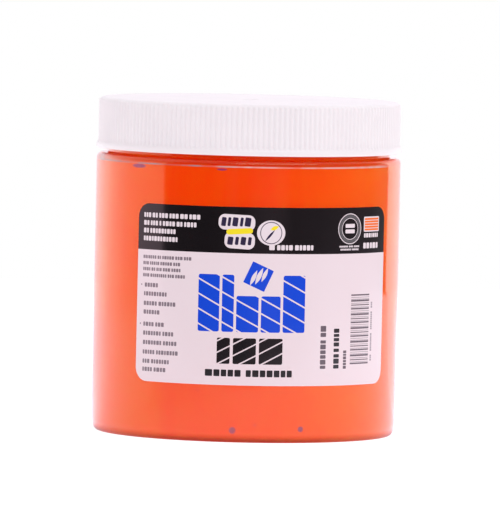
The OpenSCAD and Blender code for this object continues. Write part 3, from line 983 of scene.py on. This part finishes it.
def build_floor():
    me = bpy.data.meshes.new("floor")
    n, r = 96, FLOOR_R
    rings = [0.0, 0.06, 0.12, 0.25, r]
    co, faces = [(0, 0, -0.00002)], []
    for q in rings[1:]:
        co += [(q * math.cos(2 * math.pi * i / n), q * math.sin(2 * math.pi * i / n), -0.00002) for i in range(n)]
    for i in range(n):
        faces.append((0, 1 + i, 1 + (i + 1) % n))
    for k in range(len(rings) - 2):
        a, b = 1 + k * n, 1 + (k + 1) * n
        for i in range(n):
            j = (i + 1) % n
            faces.append((a + i, b + i, b + j, a + j))
    me.from_pydata(co, [], faces)
    ob = bpy.data.objects.new("floor", me)
    bpy.context.scene.collection.objects.link(ob)
    m = Mat("floor_sweep")
    c = m.coord()
    tone = m.noise(c, 0.01, 2.0)
    paper = m.mix(tone, (0.91, 0.91, 0.91), (0.93, 0.93, 0.93))
    lp = m.n("ShaderNodeLightPath")
    # lit paper, white to the camera right up to the jar's foot
    seen = m.n("ShaderNodeBsdfDiffuse")
    seen.inputs["Color"].default_value = (0.5, 0.5, 0.5, 1)
    lift = m.n("ShaderNodeEmission")
    lift.inputs["Strength"].default_value = 0.78
    to_lens = m.n("ShaderNodeAddShader")
    m.link(seen.outputs[0], to_lens.inputs[0])
    m.link(lift.outputs[0], to_lens.inputs[1])
    # what lights the jar from below: the paper as it is, dark where the jar covers it
    paper_bsdf = m.n("ShaderNodeBsdfDiffuse")
    ln = m.n("ShaderNodeVectorMath", operation="LENGTH")
    m.link(c, ln.inputs[0])
    dist = ln.outputs["Value"]
    clear = m.remap(dist, 33.5, 36.5, 0.0, 1.0)
    m.link(paper, paper_bsdf.inputs["Color"])
    glow = m.n("ShaderNodeEmission")
    # painted glow: the paper under the middle of the jar glows, lighting the base as the walls are lit, so it shows its
    # colour when looked at from below
    painted_under_glow = m.remap(dist, 24.0, 30.0, 0.66, 0.0, smooth=True)
    m.link(m.math("ADD", m.math("MULTIPLY", clear, FLOOR_GLOW), painted_under_glow), glow.inputs["Strength"])
    to_jar = m.n("ShaderNodeAddShader")
    m.link(paper_bsdf.outputs[0], to_jar.inputs[0])
    m.link(glow.outputs[0], to_jar.inputs[1])
    # what the jar mirrors: the paper near it, running into the room round the horizon at the disc's edge
    def dot(vec):
        d = m.n("ShaderNodeVectorMath", operation="DOT_PRODUCT")
        m.link(c, d.inputs[0])
        d.inputs[1].default_value = vec
        return d.outputs["Value"]
    az = m.math("ARCTAN2", dot(tuple(to_right)), dot(tuple(to_cam)))
    front = m.remap(dot(tuple(to_cam)), 195.0, 275.0, 0.0, 1.0, smooth=True)
    # the paper runs out softly on the left and in front, and ends at an edge on the right
    soft = m.remap(dist, r * 1000 * 0.55, r * 1000, 0.0, 1.0, smooth=True)
    edge = m.remap(dist, r * 1000 * 0.97, r * 1000, 0.0, 1.0)
    right = m.remap(m.math("ABSOLUTE", m.math("SUBTRACT", az, math.radians(116))), math.radians(16), math.radians(28), 1.0, 0.0)
    soft = m.math("ADD", m.math("MULTIPLY", soft, m.math("SUBTRACT", 1.0, right)), m.math("MULTIPLY", edge, right))
    far = m.math("MAXIMUM", soft, front)
    ring = mirror_ring(m.nt, m.n, az)
    near = m.math("MAXIMUM", ring, m.remap(dot(tuple(to_right)), -130.0, 0.0, 1.30, FLOOR_MIRROR))
    value = m.math("ADD", m.math("MULTIPLY", near, m.math("SUBTRACT", 1.0, far)), m.math("MULTIPLY", ring, far))
    # painted shade: the mirrored paper darkens towards the jar's foot
    shade = m.remap(dist, 33.0, 41.0, 0.20, 1.0, smooth=True)
    gl = m.n("ShaderNodeEmission")
    m.link(m.math("MULTIPLY", value, shade), gl.inputs["Strength"])
    m.link(m.mix(far, (0.97, 0.95, 1.10), ring_tint(m.nt, m.n, az)), gl.inputs["Color"])

    def pick(fac, a, b):
        mx = m.n("ShaderNodeMixShader")
        m.link(fac, mx.inputs[0])
        m.link(a, mx.inputs[1])
        m.link(b, mx.inputs[2])
        return mx.outputs[0]

    # what shows through the clear heel: a painted red glow under the jar, standing in for light passed through the ink,
    # and plain white paper outside it
    painted_through_glow = m.n("ShaderNodeEmission")
    m.link(m.mix(clear, (0.60, 0.010, 0.002), (1.0, 1.0, 1.0)), painted_through_glow.inputs["Color"])
    body = pick(lp.outputs["Is Glossy Ray"], to_jar.outputs[0], gl.outputs[0])
    body = pick(lp.outputs["Is Transmission Ray"], body, painted_through_glow.outputs[0])
    body = pick(lp.outputs["Is Camera Ray"], body, to_lens.outputs[0])
    # seen from below the floor isn't there, so the jar's base can be looked at
    geo = m.n("ShaderNodeNewGeometry")
    t = m.n("ShaderNodeBsdfTransparent")
    me.materials.append(m.surface(pick(geo.outputs["Backfacing"], body, t.outputs[0])))
    me.materials[0].cycles.emission_sampling = "NONE"
    return ob


def build_world():
    w = bpy.data.worlds.new("studio")
    bpy.context.scene.world = w
    w.use_nodes = True
    nt = w.node_tree
    nt.nodes.clear()

    def node(kind, **kw):
        n = nt.nodes.new(kind)
        for k, v in kw.items():
            setattr(n, k, v)
        return n

    def dot(v, vec):
        n = node("ShaderNodeVectorMath", operation="DOT_PRODUCT")
        nt.links.new(v, n.inputs[0])
        n.inputs[1].default_value = vec
        return n.outputs["Value"]

    def mth(op, a, b=None, clamp=False):
        n = node("ShaderNodeMath", operation=op, use_clamp=clamp)
        for i, v in enumerate((a, b)):
            if v is None:
                continue
            if isinstance(v, (int, float)):
                n.inputs[i].default_value = v
            else:
                nt.links.new(v, n.inputs[i])
        return n.outputs[0]

    def step(v, a, b, c, d):
        n = node("ShaderNodeMapRange", interpolation_type="SMOOTHSTEP")
        nt.links.new(v, n.inputs["Value"])
        for name, x in zip(("From Min", "From Max", "To Min", "To Max"), (a, b, c, d)):
            n.inputs[name].default_value = x
        return n.outputs["Result"]

    tc = node("ShaderNodeTexCoord")
    d = tc.outputs["Generated"]
    right = dot(d, tuple(to_right))
    az = mth("ARCTAN2", right, dot(d, tuple(to_cam)))                        # from the camera, to the right
    up = dot(d, (0, 0, 1))
    # What polished surfaces mirror: a dim room in front, a white panel to the left and a brighter one to the right
    ring = mirror_ring(nt, node, az)
    fade = step(up, 0.22, 0.55, 1.0, 0.45)
    ceiling = step(up, 0.45, 0.80, 0.0, 0.55)
    mirror = mth("ADD", mth("MULTIPLY", ring, fade), ceiling)
    # What matt surfaces are lit by: soft white light from all round, a little more from the right
    ambient = mth("ADD", mth("MULTIPLY", right, AMBIENT[1]), AMBIENT[0])

    def background(strength, colour=None):
        bg = node("ShaderNodeBackground")
        bg.inputs["Color"].default_value = (1, 1, 1, 1)
        if colour is not None:
            nt.links.new(colour, bg.inputs["Color"])
        if isinstance(strength, (int, float)):
            bg.inputs["Strength"].default_value = strength
        else:
            nt.links.new(strength, bg.inputs["Strength"])
        return bg.outputs[0]

    def pick(fac, a, b):
        mx = node("ShaderNodeMixShader")
        nt.links.new(fac, mx.inputs[0])
        nt.links.new(a, mx.inputs[1])
        nt.links.new(b, mx.inputs[2])
        return mx.outputs[0]

    lp = node("ShaderNodeLightPath")
    seen = mth("MAXIMUM", lp.outputs["Is Camera Ray"], lp.outputs["Is Transmission Ray"])
    lit = pick(lp.outputs["Is Diffuse Ray"], background(mirror, ring_tint(nt, node, az)), background(ambient))
    out = node("ShaderNodeOutputWorld")
    nt.links.new(pick(seen, lit, background(1.0)), out.inputs["Surface"])
    w.cycles.sampling_method = "NONE"


def softbox(name, az_deg, el_deg, dist, w, h, power, glossy=True):
    """A lamp seen from the jar at az degrees to the right of the camera and el above the horizon."""
    a, e = math.radians(az_deg), math.radians(el_deg)
    d = (to_cam * math.cos(a) + to_right * math.sin(a)) * math.cos(e) + Vector((0, 0, math.sin(e)))
    la = bpy.data.lights.new(name, "AREA")
    la.shape = "RECTANGLE"
    la.size, la.size_y = w, h
    la.energy = power
    ob = bpy.data.objects.new(name, la)
    bpy.context.scene.collection.objects.link(ob)
    ob.location = d * dist + Vector((0, 0, 0.04))
    ob.rotation_mode = "QUATERNION"
    ob.rotation_quaternion = (-d).to_track_quat("-Z", "Y")
    ob.visible_camera = False
    ob.visible_glossy = glossy
    return ob


build_floor()
build_world()
softbox("lamp_top", 30, 62, 1.1, 1.0, 0.45, 2.1)
softbox("lamp_right", 92, 30, 1.2, 0.5, 0.7, 0.75, glossy=False)
softbox("lamp_back", 180, 48, 1.2, 1.0, 0.5, 2.6, glossy=False)

CAM_D, CAM_Z, AIM_Z = 1.985, 0.152, 0.042
F_PX, ROLL, AIM_DX = 8352.0, 1.30, 3.35
cam_data = bpy.data.cameras.new("camera")
cam = bpy.data.objects.new("camera", cam_data)
bpy.context.scene.collection.objects.link(cam)
cam_data.sensor_width = 36.0
cam_data.lens = F_PX * 36.0 / 511.0
cam_data.clip_start, cam_data.clip_end = 0.05, 50.0
eye = to_cam * CAM_D + Vector((0, 0, CAM_Z))
look = Vector((0, 0, AIM_Z)) + to_right * (AIM_DX / F_PX * CAM_D)
cam.location = eye
cam.rotation_mode = "QUATERNION"
cam.rotation_quaternion = (look - eye).to_track_quat("-Z", "Y") @ Quaternion((0, 0, 1), math.radians(ROLL))
bpy.context.scene.camera = cam

scene = bpy.context.scene
scene.view_settings.view_transform = "Standard"
scene.view_settings.look = "None"
scene.view_settings.exposure = 0.0
